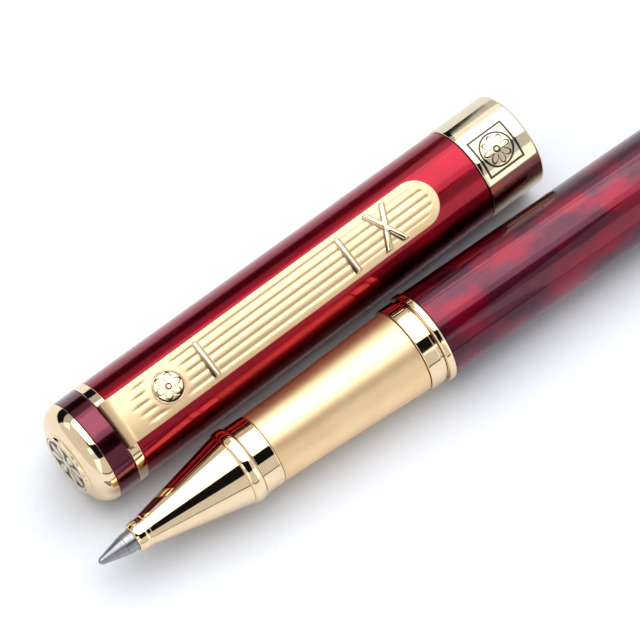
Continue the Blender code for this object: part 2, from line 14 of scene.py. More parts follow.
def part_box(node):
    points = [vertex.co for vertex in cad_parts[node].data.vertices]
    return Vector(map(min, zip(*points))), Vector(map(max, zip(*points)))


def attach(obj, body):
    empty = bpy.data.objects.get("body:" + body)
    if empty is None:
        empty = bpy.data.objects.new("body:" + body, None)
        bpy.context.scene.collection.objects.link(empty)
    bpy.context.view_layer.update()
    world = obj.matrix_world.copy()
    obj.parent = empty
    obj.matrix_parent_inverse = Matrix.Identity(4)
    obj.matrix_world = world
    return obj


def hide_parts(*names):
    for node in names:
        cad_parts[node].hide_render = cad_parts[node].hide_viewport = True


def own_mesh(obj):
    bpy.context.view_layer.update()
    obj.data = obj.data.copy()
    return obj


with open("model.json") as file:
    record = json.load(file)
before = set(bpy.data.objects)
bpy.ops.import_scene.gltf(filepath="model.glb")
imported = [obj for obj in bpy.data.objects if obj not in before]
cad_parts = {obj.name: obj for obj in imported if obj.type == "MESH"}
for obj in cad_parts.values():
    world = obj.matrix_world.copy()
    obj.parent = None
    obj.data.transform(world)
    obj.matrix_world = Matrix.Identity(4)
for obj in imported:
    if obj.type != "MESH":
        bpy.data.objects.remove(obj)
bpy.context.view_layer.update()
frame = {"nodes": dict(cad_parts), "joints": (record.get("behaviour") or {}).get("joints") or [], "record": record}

MM = 0.001
RECORD = frame["record"]

# Fineness of the surfaces
ROUND = 192  # columns round a large turned piece
SMALL_ROUND = 64  # columns round the writing point and the ball
CORNER_STEPS = 5  # rows in a rounded corner
CORNER_SHARE = 0.36  # most of a short side that one corner may take
CORNER_GUARD = 1.3  # distance of the points just outside a corner, in sizes of that corner
FLARE_ROWS = 40  # rows along the grip's flare and the barrel's taper

SEAT_GAP = 0.04  # left between pieces that stop against each other
AT_END = 0.05  # corners this near to a piece's end belong to that end

# Colours that several finishes share
PALE_GOLD, PALE_GOLD_DEEP = "#efd9b8", "#e9d2b0"

FINISHES = {}  # materials by short name, filled before the first piece is made

# Writing point
CONE_LENGTH = 3.20
CONE_R = 1.16
SHOULDER_PLACES = (0.08, 0.10, 0.18, 0.22)  # corners of the groove behind the cone
SHOULDER_GROOVE = 0.05
SHOULDER_RISE = 0.03  # the point goes on this much wider behind the groove
SHANK_LENGTH = 3.6  # the thinner end that sits in the refill's collar
SHANK_STEP = 0.33
BALL_RIM = 0.05  # steel left round the ball
BALL_PINCH = 0.005  # the rim closes this much in front of it
BALL_PLAY = 0.03
SOCKET_BACK = 0.80  # the socket's cone ends here and the feed channel starts
FEED_FRONT = 1.12
FEED_PLAY = 0.02

# Nose
LIP_LENGTH = 1.76
LIP_CROWN = 0.16  # the lip is this much thinner at its front than in its middle
CROWN_RUN = (0.50, 0.35)  # it falls over these lengths at its front and its back
LIP_GROOVE = (0.20, 0.24)  # depth and width
NOSE_STEP_RISE = 0.14  # the cone starts this much wider than the lip
NOSE_STEP_LENGTH = 0.40
NECK_BORE = 1.77  # bore round the refill's collar
NECK_SHOULDER = 0.4  # it starts this far in front of the cone's step
CONE_WALL = 0.56
BEAD_LENGTH = 1.56
BEAD_SINK = 0.02  # the bead's centre lies this far inside the cone's edge
BEAD_GROOVE = 0.10
GROOVE_RUN = (0.06, 0.03)  # the groove starts and is full this far in front of the bead
CORE_SHORT = 0.75  # the core stops this far inside the cone

# Grip and thread
GRIP_POWER = 1.25
SNAP_GROOVE = 0.22
THREAD_PITCH = 0.75
THREAD_DEPTH = 0.40
THREAD_FLANK = (0.15, 0.9)  # share of a half pitch, from the crest, over which a flank falls
THREAD_ROWS = 10  # rows for each pitch
THREAD_LEAD = 0.3  # crest without rows at each end
THREAD_CHAMFER = 0.35
SHANK_START = 0.9  # plain length in front of the thread
RUN_IN, RUN_OUT = 0.5, 0.25

# Refill spring
SPRING_TURNS = 4
SPRING_WIRE_R = 0.18
SPRING_ROWS = 40  # rows for each turn
WIRE_SIDES = 12

# Barrel
BARREL_PARALLEL = 30.0
BARREL_POWER = 1.53
BORE_LEAD = 2.0  # the bore narrows over this length before the taper
END_FLAT_R = 2.60
END_POCKET_R = 3.30  # hollow inside the domed end
END_FLOOR = 2.36  # solid depth from the dome to the hollow

# Cap
DOME_EDGE = 0.35
DISC_PLAY = 0.05  # round the disc in the finial
STUD_PLAY = 0.05  # round the finial's stud in the head band
STUD_SHORT = 0.10  # the stud's wide part stops this far inside the clip ring
DISC_RIM = 0.45  # plain rim round the disc's petals
DISC_SINK = 0.12  # the dark ground lies this much deeper than the petals
DISC_EDGE = 0.05
SPOKE_WIDTH = 0.18  # share of the field
LINER_WALL = 0.35
LINER_FLOOR = 1.40
SLOT_FLOOR = 0.5  # metal left under the clip's slot, above the ring's bore
SLOT_STEP, SLOT_TURN = 0.005, 2e-3  # length and turn over which the slot's walls stand
LIP_ROUND = 0.45
NOTCH_ROOM = 0.12
PETAL_ROOT, PETAL_POWER = 0.34, 0.7  # where petals part, as a share of the flower, and roundness
HEART_R = 0.20  # ring round the flower's heart
MARK_ANGLE = math.radians(2.3)
MARK_SIZE = 5.1  # the engraved square on the lip band
MARK_FROM_LIP = 3.2  # its centre, from the band's front edge
MARK_MARGIN = 0.2  # fine rows and columns left round it
MARK_LINE = 0.31
CIRCLE_LINE, FLOWER_LINE = 0.9, 0.8  # shares of that width
MARK_CIRCLE_R = 2.0
FLOWER_SHARE = 0.86  # of the circle's radius
MARK_DEPTH = 0.006
MARK_ROWS = 110  # rows and columns across the engraving

# Clip
CLIP_WIDTH = 5.75
CLIP_THICKNESS = 0.50
CLIP_BEND = 1.05  # outer radius of the bend at its root
CLIP_EDGE = 0.13  # rounding of the clip's edges
CLIP_ROWS, CLIP_COLUMNS = 330, 87
EDGE_SHARE = 0.03  # of half the clip's width, with closer columns for its edge
LAST_ROW = math.radians(89.4)  # the last row stops just short of the tip, so that it has a width
RIB_COUNT = 5  # grooves between the ribs
RIB_PITCH = 0.97
RIB_DEPTH = 0.065
RIB_WIDTH = 0.40
RIB_MARGIN = 1.10  # plain gold left round the clip's end
RIB_START = 2.0  # from the clip's root
RIB_STAGGER = 0.9  # the outer grooves start this much further back
RIB_FADE = 1.6
MEDAL_PLACE = 7.3
MEDAL_R = 1.92
MEDAL_RISE = 0.18
MEDAL_EDGE = 0.16  # width of its rounded edge, and of the line inside it
MEDAL_RIM, MEDAL_MARGIN = 0.25, 0.40  # from its edge to that line, and to the petals' tips
MEDAL_LINE = 0.20
MEDAL_LINE_DEPTH = 0.004
MEDAL_PETALS = 6
MEDAL_ROOM = (0.25, 1.2)  # the grooves fade out over these distances from it
BAR_PLACES = (12.6, 32.7)
BAR_WIDTH = 0.80
BAR_INSET = (0.72, 0.48)  # the bars fall to the face over these distances from its sides
BAR_RISE = (0.18, 0.20)  # height at the near side, and what is added towards the far one
CROWN = 0.17  # fall of the face from its middle to its edges
STRAP_PLACE = 38.15
STRAP_SPREAD = 1.45
STRAP_WIDTH = 0.80
STRAP_INSET = (0.55, 0.35)
STRAP_RISE = 0.26
FOOT_LENGTH = (0.5, 1.3)  # the rounded foot under the end: full, and gone
FOOT_WIDTH = (0.6, 1.6)

# Table, lights and camera
TABLE_HALF = 3.0  # metres
TABLE_DROP = 2e-5  # metres below the part, so that the two don't flicker
SOFTBOXES = (
    # name, distance in metres, lean and turn in degrees, length and width in metres, radiance
    ("overhead_softbox", 1.0, -14.0, -13.0, 1.46, 1.35, 1.6),
    ("overhead_core", 1.0, -16.0, 2.0, 0.94, 0.90, 1.05),
    ("front_card", 0.85, 69.0, 0.0, 1.8, 0.56, 0.66),
    ("left_card", 0.9, 8.0, 66.0, 2.4, 1.35, 0.68),
    ("left_fill", 1.0, 29.0, 34.0, 0.36, 0.22, 0.68),
    ("right_card", 0.32, 0.0, -90.0, 1.9, 1.5, 0.68),
    ("back_card", 0.95, -55.5, 0.0, 1.9, 0.38, 0.5),
)
CAMERA_TARGET = (-0.022155, 0.001664, 0.00586)  # metres
CAMERA_AZIMUTH, CAMERA_ELEVATION = math.radians(-37.27), math.radians(64.24)
CAMERA_DISTANCE = 0.380  # metres
CAMERA_SENSOR, CAMERA_LENS = 36.0, 190.2


def to_linear(hex_colour):
    """An sRGB hex colour as linear red, green, blue and alpha."""
    parts = [int(hex_colour[i:i + 2], 16) / 255 for i in (1, 3, 5)]
    return (*[c / 12.92 if c <= 0.04045 else ((c + 0.055) / 1.055) ** 2.4 for c in parts], 1.0)


def smooth(value, low, high):
    """0 below low, 1 above high, and a smooth cubic step between them."""
    share = np.clip((value - low) / (high - low), 0.0, 1.0)
    return share * share * (3 - 2 * share)


def corners_of(mesh):
    """A mesh's corners as rows of three numbers."""
    corners = np.empty(len(mesh.vertices) * 3)
    mesh.vertices.foreach_get("co", corners)
    return corners.reshape(-1, 3)


def joint_named(name):
    """A joint of the frame by its name."""
    return next(joint for joint in frame["joints"] if joint["name"] == name)


# ---- places

class Axis:
    """A turning axis in the frame: its origin, its direction, and the directions of a quarter turn."""

    def __init__(self, origin, along, up):
        self.origin = np.array(origin, float)
        self.along = np.array(along, float) / np.linalg.norm(along)
        across = np.array(up, float) - np.dot(up, self.along) * self.along
        self.up = across / np.linalg.norm(across)
        self.side = np.cross(self.along, self.up)

    def points(self, station, radius, angle):
        """The origin, plus the station along the axis, plus the radius at its angle from up to side."""
        return self.at(station, radius * np.cos(angle), radius * np.sin(angle))

    def at(self, station, height, side):
        """A place given by its station and its distances along the up and side directions."""
        station, height, side = np.broadcast_arrays(station, height, side)
        return self.origin + MM * (station[..., None] * self.along + height[..., None] * self.up
                                   + side[..., None] * self.side)

    def reach(self, node):
        """A CAD node's corners, in millimetres from the axis's origin."""
        return (corners_of(frame["nodes"][node].data) - self.origin) / MM

    def spread(self, node):
        """Stations and radii of a CAD node's corners."""
        reach = self.reach(node)
        station = reach @ self.along
        return station, np.linalg.norm(reach - station[:, None] * self.along, axis=1)

    def size(self, node):
        """Front and back station, bore radius and outer radius of a CAD node."""
        station, radius = self.spread(node)
        return station.min(), station.max(), radius.min(), radius.max()

    def radius(self, node, place):
        """Outer radius of a CAD node at one of its own stations."""
        station, radius = self.spread(node)
        return radius[np.abs(station - place) < 0.02].max()


def find_axes():
    """The pen's axis from its trim ring and ball, and the cap's from its end mount and clip joint."""
    low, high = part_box("trim_ring")
    point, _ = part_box("refill_ball")
    pen = Axis((point.x, (low.y + high.y) / 2, (low.z + high.z) / 2), (1, 0, 0), (0, 0, 1))
    end = next(mount for mount in RECORD["mounts"] if mount["name"] == "cap_end_face")
    along = -np.array(end["axis"])
    cap = Axis(end["pos_m"], along, np.cross(joint_named("clip_flex")["axis"], along))
    return pen, cap


# ---- surfaces

def grid_faces(rows, columns, wrap_rows, wrap_columns):
    """Four-sided faces between neighbouring rows and columns of points that are numbered row by row."""
    row = np.arange(rows if wrap_rows else rows - 1)[:, None]
    column = np.arange(columns if wrap_columns else columns - 1)[None, :]
    next_row, next_column = (row + 1) % rows, (column + 1) % columns
    corners = (row * columns + column, row * columns + next_column,
               next_row * columns + next_column, next_row * columns + column)
    return np.stack(np.broadcast_arrays(*corners), -1).reshape(-1, 4)


def add_piece(name, points, faces, finish, body, nodes, marks=None):
    """A smooth-shaded piece from points in metres. marks are 0 to 1 values at each point, by name."""
    mesh = bpy.data.meshes.new(name)
    mesh.from_pydata(points.reshape(-1, 3).tolist(), [], faces)
    mesh.shade_smooth()
    for key, value in (marks or {}).items():
        mesh.attributes.new(key, "FLOAT", "POINT").data.foreach_set("value", value.astype(np.float32))
    mesh.materials.append(FINISHES[finish])
    piece = bpy.data.objects.new(name, mesh)
    bpy.context.scene.collection.objects.link(piece)
    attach(piece, body)
    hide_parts(*nodes)
    return piece


def rounded(outline):
    """An outline of (station, radius, rounding) with each corner turned into a quadratic curve.

    The curve starts and ends `rounding` from the corner, or nearer on a short side, and one more
    point stands just outside each end of it, so that the flat beside it stays flat.
    """
    corner = np.array([point[:2] for point in outline], float)
    size = np.array([point[2] for point in outline], float)
    before, after = np.roll(corner, 1, 0) - corner, np.roll(corner, -1, 0) - corner
    before_length = np.maximum(np.linalg.norm(before, axis=1), 1e-9)
    after_length = np.maximum(np.linalg.norm(after, axis=1), 1e-9)
    cut = np.minimum(size, CORNER_SHARE * np.minimum(before_length, after_length))
    start = before / before_length[:, None] * cut[:, None]
    end = after / after_length[:, None] * cut[:, None]
    t = np.linspace(0, 1, CORNER_STEPS + 1)
    leave = np.concatenate([[CORNER_GUARD], (1 - t) ** 2, [0.0]])[None, :, None]
    arrive = np.concatenate([[0.0], t ** 2, [CORNER_GUARD]])[None, :, None]
    curve = (corner[:, None] + leave * start[:, None] + arrive * end[:, None]).reshape(-1, 2)
    return curve[np.linalg.norm(curve - np.roll(curve, 1, 0), axis=1) > 1e-5]


def arc(centre, radii, start, end, count):
    """Outline points on an ellipse; angles in degrees from the radius axis towards the station axis."""
    turn = np.radians(np.linspace(start, end, count))
    station = centre[0] + radii[0] * np.sin(turn)
    return [(s, r, 0.0) for s, r in zip(station, centre[1] + radii[1] * np.cos(turn))]


def turned(name, axis, outline, finish, body, nodes, columns=ROUND, angles=None, lift=None,
           mark=None):
    """An outline of (station, radius) carried round an axis.

    It runs from front to back along the outside and returns along the bore. Where it starts and
    ends on the axis instead, each of those ends is one point. lift(station, radius, angle) is
    added to the radius, and mark(station, radius, angle) gives each point's mark.
    """
    outline = np.asarray(outline, float)
    solid = abs(outline[0, 1]) < 1e-6 and abs(outline[-1, 1]) < 1e-6
    rings = outline[1:-1] if solid else outline
    if angles is None:
        angles = np.linspace(0, 2 * np.pi, columns, endpoint=False)
    station, radius, angle = rings[:, :1], rings[:, 1:], np.asarray(angles)[None, :]
    grown = radius + (lift(station, radius, angle) if lift else 0.0 * angle)
    points = axis.points(station, grown, angle).reshape(-1, 3)
    count = len(angles)
    faces = grid_faces(len(rings), count, not solid, True).tolist()
    marks = {}
    if mark:
        marks["mark"] = np.broadcast_to(mark(station, radius, angle), grown.shape).ravel()
    if solid:
        ends = axis.points(outline[[0, -1], 0], np.zeros(2), np.zeros(2))
        first, last = len(points), len(points) + 1
        points = np.concatenate([points, ends])
        marks = {key: np.concatenate([value, value[[0, -1]]]) for key, value in marks.items()}
        here = np.arange(count)
        after = (here + 1) % count
        back = (len(rings) - 1) * count
        faces += np.stack([np.full(count, first), after, here], -1).tolist()
        faces += np.stack([back + here, back + after, np.full(count, last)], -1).tolist()
    return add_piece(name, points, faces, finish, body, nodes, marks)


def ring(name, axis, node, edge, finish, body):
    """A plain ring where a CAD ring is, with its outer edges rounded more than its inner ones."""
    front, back, bore, radius = axis.size(node)
    outline = rounded([
        (front, radius, edge), (back, radius, edge), (back, bore, edge / 3), (front, bore, edge / 3)])
    turned(name, axis, outline, finish, body, [node])


def slab(name, top, bottom, finish, body, nodes, marks):
    """A closed plate between two grids of the same size, one above the other.

    Rows run along the plate and columns across it, so that along, across and up turn like the
    frame's own axes do.
    """
    rows, columns = top.shape[:2]
    count = rows * columns
    sheet = grid_faces(rows, columns, False, False)
    row, column = np.arange(rows - 1), np.arange(columns - 1)
    left, right = row * columns, row * columns + columns - 1
    far = (rows - 1) * columns
    faces = np.concatenate([
        sheet, sheet[:, ::-1] + count,
        np.stack([left, left + columns, left + columns + count, left + count], -1),
        np.stack([right + columns, right, right + count, right + columns + count], -1),
        np.stack([column + 1, column, column + count, column + 1 + count], -1),
        np.stack([far + column, far + column + 1,
                  far + column + 1 + count, far + column + count], -1),
    ])
    points = np.concatenate([top.reshape(-1, 3), bottom.reshape(-1, 3)])
    marks = {key: np.concatenate([value.ravel(), np.zeros(count)]) for key, value in marks.items()}
    return add_piece(name, points, faces.tolist(), finish, body, nodes, marks)


def line(distance, width):
    """1 on a line, falling smoothly to 0 a little past half its width from its middle."""
    return 1 - smooth(np.abs(distance), 0.25 * width, 0.6 * width)


def petal_edge(turn, petals=8):
    """Radius of a plain flower of radius 1 at an angle: it swells once for each petal."""
    return PETAL_ROOT + (1 - PETAL_ROOT) * np.abs(np.cos(petals / 2 * turn)) ** PETAL_POWER


def rosette_lines(x, y, radius, width, petals=8):
    """Line drawing of the flower: the edge of its petals, and a ring round its heart."""
    reach, turn = np.hypot(x, y) / radius, np.arctan2(y, x)
    width = width / radius
    return np.maximum(line(reach - petal_edge(turn, petals), width), line(reach - HEART_R, width))


# ---- finishes

def add_node(tree, kind, inputs=None, **settings):
    """A shader node with its settings, and its inputs set to values or linked to outputs."""
    made = tree.nodes.new("ShaderNode" + kind)
    for name, value in settings.items():
        setattr(made, name, value)
    for name, value in (inputs or {}).items():
        if isinstance(value, bpy.types.NodeSocket):
            tree.links.new(value, made.inputs[name])
        else:
            made.inputs[name].default_value = value
    return made


def new_finish(name):
    """An empty material and the output of its object coordinates."""
    finish = bpy.data.materials.new(name)
    finish.use_nodes = True
    finish.node_tree.nodes.clear()
    place = add_node(finish.node_tree, "TexCoord")
    return finish, finish.node_tree, place.outputs["Object"]


def close_finish(tree, surface):
    """The shader that ends a finish."""
    shader = add_node(tree, "BsdfPrincipled", surface)
    add_node(tree, "OutputMaterial", {"Surface": shader.outputs["BSDF"]})


def noise(tree, place, size, detail=2.0, stretch=(1, 1, 1)):
    """Cloudy pattern whose patches are about `size` millimetres across, drawn out along the axes."""
    scaled = add_node(tree, "Mapping", {"Vector": place, "Scale": stretch})
    made = add_node(tree, "TexNoise", {"Vector": scaled.outputs["Vector"], "Scale": 1 / (size * MM),
                                       "Detail": detail, "Roughness": 0.55})
    return made.outputs["Fac"]


def spread(tree, value, low, high):
    """A 0 to 1 pattern mapped to run from low to high over its middle range."""
    return add_node(tree, "MapRange", {"Value": value, "From Min": 0.3, "From Max": 0.7,
                                       "To Min": low, "To Max": high}).outputs["Result"]


def blend_colours(tree, share, first, second):
    """Two colours, given as hex or as an output, mixed by a pattern."""
    first, second = [to_linear(c) if isinstance(c, str) else c for c in (first, second)]
    # Inputs 6 and 7 and output 2 of the mixer are the ones for colours
    return add_node(tree, "Mix", {"Factor": share, 6: first, 7: second}, data_type="RGBA").outputs[2]


def relief(tree, height, depth, strength):
    """Bump of `depth` millimetres from a pattern."""
    return add_node(tree, "Bump", {
        "Height": height, "Distance": depth * MM, "Strength": strength}).outputs["Normal"]


def mottled(tree, pattern, light, dark):
    """Two near colours mixed by a pattern that covers both fully."""
    return blend_colours(tree, spread(tree, pattern, 0, 1), light, dark)


def polished_gold():
    """Pale gold plating on polished brass: a clear mirror with a faint haze and fine wiping marks."""
    finish, tree, place = new_finish("polished_pale_gold_plating")
    haze = noise(tree, place, 1.6, 3.0)
    wipes = noise(tree, place, 0.12, 1.0, (0.15, 1, 1))
    close_finish(tree, {
        "Base Color": mottled(tree, haze, PALE_GOLD, PALE_GOLD_DEEP),
        "Metallic": 1.0,
        "Roughness": spread(tree, haze, 0.045, 0.075),
        "Normal": relief(tree, wipes, 0.0006, 0.35),
    })
    return finish


def engraved_gold():
    """Pale gold plating, a little darker than the polished gold, with black enamel wiped into its engraved lines.
    """
    finish, tree, place = new_finish("polished_gold_with_black_enamel_lines")
    haze = noise(tree, place, 1.6, 3.0)
    mark = add_node(tree, "Attribute", attribute_name="mark").outputs["Fac"]
    gold = mottled(tree, haze, "#dccfb6", "#d6c8ae")
    metal = add_node(tree, "BsdfPrincipled", {
        "Base Color": gold, "Metallic": 1.0, "Roughness": spread(tree, haze, 0.05, 0.10)})
    enamel = add_node(tree, "BsdfPrincipled", {
        "Base Color": blend_colours(tree, haze, "#14110c", "#221d13"), "Roughness": 0.35})
    both = add_node(tree, "MixShader", {0: mark, 1: metal.outputs["BSDF"], 2: enamel.outputs["BSDF"]})
    add_node(tree, "OutputMaterial", {"Surface": both.outputs["Shader"]})
    return finish


def satin_gold():
    """Bead-blasted gold plating: an even, fine grain that spreads the light. The 0.05 mm grain is
    drawn at 0.11 mm, so that it still shows."""
    finish, tree, place = new_finish("bead_blasted_gold_plating")
    grain = noise(tree, place, 0.11, 2.0)
    tone = noise(tree, place, 4.0, 3.0)
    close_finish(tree, {
        "Base Color": mottled(tree, tone, "#f1d4ac", "#ebcca2"),
        "Metallic": 1.0,
        "Roughness": spread(tree, grain, 0.38, 0.45),
        "Normal": relief(tree, grain, 0.004, 0.5),
    })
    return finish


def clip_gold():
    """Matte gold plating whose raised relief was polished afterwards: the grain stays in the ground. Painted shade
    turns the medallion's engraved lines and the feet of the bars and the strap dark brown."""
    finish, tree, place = new_finish("matte_gold_with_polished_relief")
    grain = noise(tree, place, 0.10, 2.0)
    tone = noise(tree, place, 3.0, 3.0)
    mark = add_node(tree, "Attribute", attribute_name="mark").outputs["Fac"]
    painted_shade = add_node(tree, "Attribute", attribute_name="painted_shade").outputs["Fac"]
    matte = spread(tree, grain, 0.36, 0.44)
    rough = add_node(tree, "MapRange", {"Value": mark, "To Min": matte, "To Max": 0.12})
    ground = mottled(tree, tone, "#dcc3a0", "#d4ba94")
    gold = blend_colours(tree, mark, ground, PALE_GOLD)
    close_finish(tree, {
        # Painted shade: the shade attribute turns the gold dark brown in the medallion's lines and along the feet
        # of the bars and the strap
        "Base Color": blend_colours(tree, painted_shade, gold, "#200a06"),
        "Metallic": 1.0,
        "Roughness": rough.outputs["Result"],
        "Normal": relief(tree, grain, 0.003, 0.5),
    })
    return finish


def lacquer(name, colour, softness, coat):
    """Translucent gloss lacquer on bright metal: a deep colour that follows the lights softly, since
    the ground under it spreads them, and a clear reflection with a trace of orange peel."""
    finish, tree, place = new_finish(name)
    peel = noise(tree, place, 0.9, 1.0)
    close_finish(tree, {
        "Base Color": colour(tree, place),
        "Metallic": 1.0,
        "Roughness": spread(tree, noise(tree, place, 3.0, 2.0), softness, softness + 0.04),
        "Coat Weight": coat,
        "Coat Roughness": 0.03,
        "Coat IOR": 1.5,
        "Coat Normal": relief(tree, peel, 0.0008, 0.3),
    })
    return finish


def candy_red(tree, place):
    """Even red with slow changes of depth where the lacquer is thicker."""
    return mottled(tree, noise(tree, place, 6.0, 2.0), "#960728", "#8a0522")


def dark_red(tree, place):
    """The same lacquer over a dark ground coat."""
    return mottled(tree, noise(tree, place, 4.0, 2.0), "#6c2238", "#5a1a2c")


def marbled_red(tree, place):
    """Red clouds, 3 to 8 mm long, that drift through plum, with darker threads."""
    clouds = noise(tree, place, 5.0, 3.0, (0.62, 1.0, 1.0))
    threads = noise(tree, place, 1.6, 3.0, (0.35, 1.0, 1.0))
    plum = mottled(tree, threads, "#461428", "#5e2038")
    share = add_node(tree, "MapRange", {"Value": clouds, "From Min": 0.47, "From Max": 0.62})
    return blend_colours(tree, share.outputs["Result"], plum, "#80092a")


def turned_metal(name, light, dark, roughness, groove):
    """Metal from the lathe: fine rings across the pen's length, 2 pi times `groove` mm apart."""
    finish, tree, place = new_finish(name)
    rings = add_node(tree, "TexWave", {"Vector": place, "Scale": 0.5 / (groove * MM) / 10,
                                       "Distortion": 0.6, "Detail": 2.0}, bands_direction="X")
    stain = noise(tree, place, 0.5, 3.0, (1, 0.3, 0.3))
    close_finish(tree, {
        "Base Color": mottled(tree, stain, light, dark),
        "Metallic": 1.0,
        "Roughness": spread(tree, stain, roughness, roughness + 0.10),
        "Normal": relief(tree, rings.outputs["Fac"], 0.002, 0.6),
    })
    return finish


def moulded(name, light, dark, roughness, grain):
    """Moulded plastic or pressed fibre: a faint mottle and a grain of the given size."""
    finish, tree, place = new_finish(name)
    pattern = noise(tree, place, grain, 3.0)
    close_finish(tree, {
        "Base Color": mottled(tree, pattern, light, dark),
        "Roughness": spread(tree, pattern, roughness - 0.05, roughness + 0.05),
        "IOR": 1.49,
        "Normal": relief(tree, pattern, 0.01, 0.4),
    })
    return finish


def white_table():
    """Matt white board: a slightly cool white with a barely visible tooth."""
    finish, tree, place = new_finish("matt_white_board")
    tooth = noise(tree, place, 0.8, 2.0)
    close_finish(tree, {
        "Base Color": mottled(tree, tooth, "#e2e5eb", "#dee2e8"),
        "Roughness": 0.75,
        "Specular IOR Level": 0.2,
        "Normal": relief(tree, tooth, 0.01, 0.15),
    })
    return finish


def make_finishes():
    """Every finish, by its short name."""
    return {
        "polished_gold": polished_gold(),
        "engraved_gold": engraved_gold(),
        "satin_gold": satin_gold(),
        "clip_gold": clip_gold(),
        "red_lacquer": lacquer("candy_red_lacquer", candy_red, 0.24, 0.6),
        "dark_lacquer": lacquer("dark_red_lacquer", dark_red, 0.18, 0.8),
        "marbled_lacquer": lacquer("marbled_red_lacquer", marbled_red, 0.36, 0.85),
        "brass": turned_metal("turned_brass", "#e0bf78", "#d4b068", 0.22, 0.12),
        "steel": turned_metal("turned_stainless_steel", "#a9a9ac", "#96969a", 0.26, 0.15),
        "carbide": turned_metal("polished_tungsten_carbide", "#a5a7ae", "#9496a0", 0.08, 0.05),
        "white_plastic": moulded("white_moulded_polypropylene", "#e9e9e4", "#dededa", 0.45, 0.4),
        "black_plastic": moulded("black_moulded_plastic", "#0c0c0d", "#161617", 0.40, 0.4),
        "ink_fibre": moulded("ink_soaked_fibre", "#0e1530", "#1b2547", 0.85, 0.1),
    }


# ---- pen

def make_point(pen):
    """The refill's steel point and its ball."""
    front, back, bore, point_r = pen.size("refill_tip")
    ball_low, ball_high, _, ball_r = pen.size("refill_ball")
    out = pen.size("nose_cone")[0]
    groove = [CONE_LENGTH + place for place in SHOULDER_PLACES]
    shank, shank_r = back - SHANK_LENGTH, point_r - SHANK_STEP
    socket, feed = ball_r + BALL_PLAY, bore + FEED_PLAY
    outline = rounded([
        (front, ball_r - BALL_PINCH, 0.0), (front, ball_r + BALL_RIM, 0.02), (CONE_LENGTH, CONE_R, 0.10),
        (groove[0], CONE_R, 0.02), (groove[1], CONE_R - SHOULDER_GROOVE, 0.02),
        (groove[2], CONE_R - SHOULDER_GROOVE, 0.02), (groove[3], CONE_R + SHOULDER_RISE, 0.03),
        (out, point_r, 0.05), (shank, point_r, 0.03), (shank, shank_r, 0.02),
        (back, shank_r, 0.03), (back, feed, 0.02), (FEED_FRONT, feed, 0.02),
        (SOCKET_BACK, socket, 0.02), (ball_r, socket, 0.02),
    ])
    turned("refill_point", pen, outline, "steel", "refill", ["refill_tip"], SMALL_ROUND)
    turn = np.linspace(-np.pi / 2, np.pi / 2, 33)
    centre = (ball_low + ball_high) / 2
    circle = np.stack([centre + ball_r * np.sin(turn), ball_r * np.cos(turn)], -1)
    turned("writing_ball", pen, circle, "carbide", "ball", ["refill_ball"], SMALL_ROUND)


def make_nose(pen):
    """Polished nose: a lip, a fine groove, the cone and a bead round its back."""
    front, back, bore, bead_r = pen.size("nose_cone")
    _, _, core_r, cone_r = pen.size("front_ring")
    core_bore = pen.size("section_core")[2]
    step = front + LIP_LENGTH
    step_r = pen.radius("nose_cone", step - 0.01)
    lip_r = step_r - NOSE_STEP_RISE
    cone_front, cone_back = step + NOSE_STEP_LENGTH, back - BEAD_LENGTH
    core_front = cone_back - CORE_SHORT - SEAT_GAP
    slope = (cone_r - step_r) / (cone_back - cone_front)
    bore_back = cone_front + (core_bore + CONE_WALL - step_r) / slope
    bore_turn = cone_front + (NECK_BORE + CONE_WALL - step_r) / slope
    depth, width = LIP_GROOVE
    groove, neck = step - width, step - NECK_SHOULDER
    bead_base, reach = cone_r - BEAD_SINK, BEAD_LENGTH / 2
    bead = arc((cone_back + reach, bead_base), (reach, bead_r - bead_base), -80, 84, 22)
    outline = rounded([
        (front, lip_r - LIP_CROWN, 0.15), (front + CROWN_RUN[0], lip_r, 0.40),
        (groove - CROWN_RUN[1], lip_r, 0.30), (groove, lip_r - LIP_CROWN / 2, 0.08),
        (groove, lip_r - depth, 0.05), (step, lip_r - depth, 0.05), (step, step_r, 0.12),
        (cone_front, step_r, 0.10), (cone_back - GROOVE_RUN[0], cone_r, 0.03),
        (cone_back - GROOVE_RUN[1], cone_r - BEAD_GROOVE, 0.02), *bead,
        (back, cone_r, 0.03), (back, core_r, 0.03), (core_front, core_r, 0.02),
        (core_front, core_bore, 0.02), (bore_back, core_bore, 0.05), (bore_turn, NECK_BORE, 0.05),
        (neck, NECK_BORE, 0.02), (neck, bore, 0.02), (front, bore, 0.05),
    ])
    turned("polished_nose_cone", pen, outline, "polished_gold", "section", ["nose_cone"])
    ring("polished_front_ring", pen, "front_ring", 0.14, "polished_gold", "section")


def make_grip(pen):
    """Satin grip that flares slowly to the back, with the core and its thread inside."""
    front, back, bore, radius = pen.size("grip_sleeve")
    start_r = pen.radius("grip_sleeve", front)
    share = np.linspace(0, 1, FLARE_ROWS)
    flare = [(front + (back - front) * t, start_r + (radius - start_r) * t ** GRIP_POWER, 0.0)
             for t in share[1:-1]]
    outline = rounded([(front, start_r, 0.10), *flare, (back, radius, 0.10), (back, bore, 0.04),
                       (front, bore, 0.04)])
    turned("satin_grip", pen, outline, "satin_gold", "section", ["grip_sleeve"])

    front, back, bore, radius = pen.size("snap_ring")
    groove = back - 2 * SNAP_GROOVE
    outline = rounded([
        (front, radius, 0.14), (groove, radius, 0.10), (groove, radius - SNAP_GROOVE, 0.06),
        (back, radius - SNAP_GROOVE, 0.03), (back, bore, 0.04), (front, bore, 0.04)])
    turned("polished_snap_ring", pen, outline, "polished_gold", "section", ["snap_ring"])
    ring("polished_trim_ring", pen, "trim_ring", 0.26, "polished_gold", "trim_ring")
    make_thread(pen)


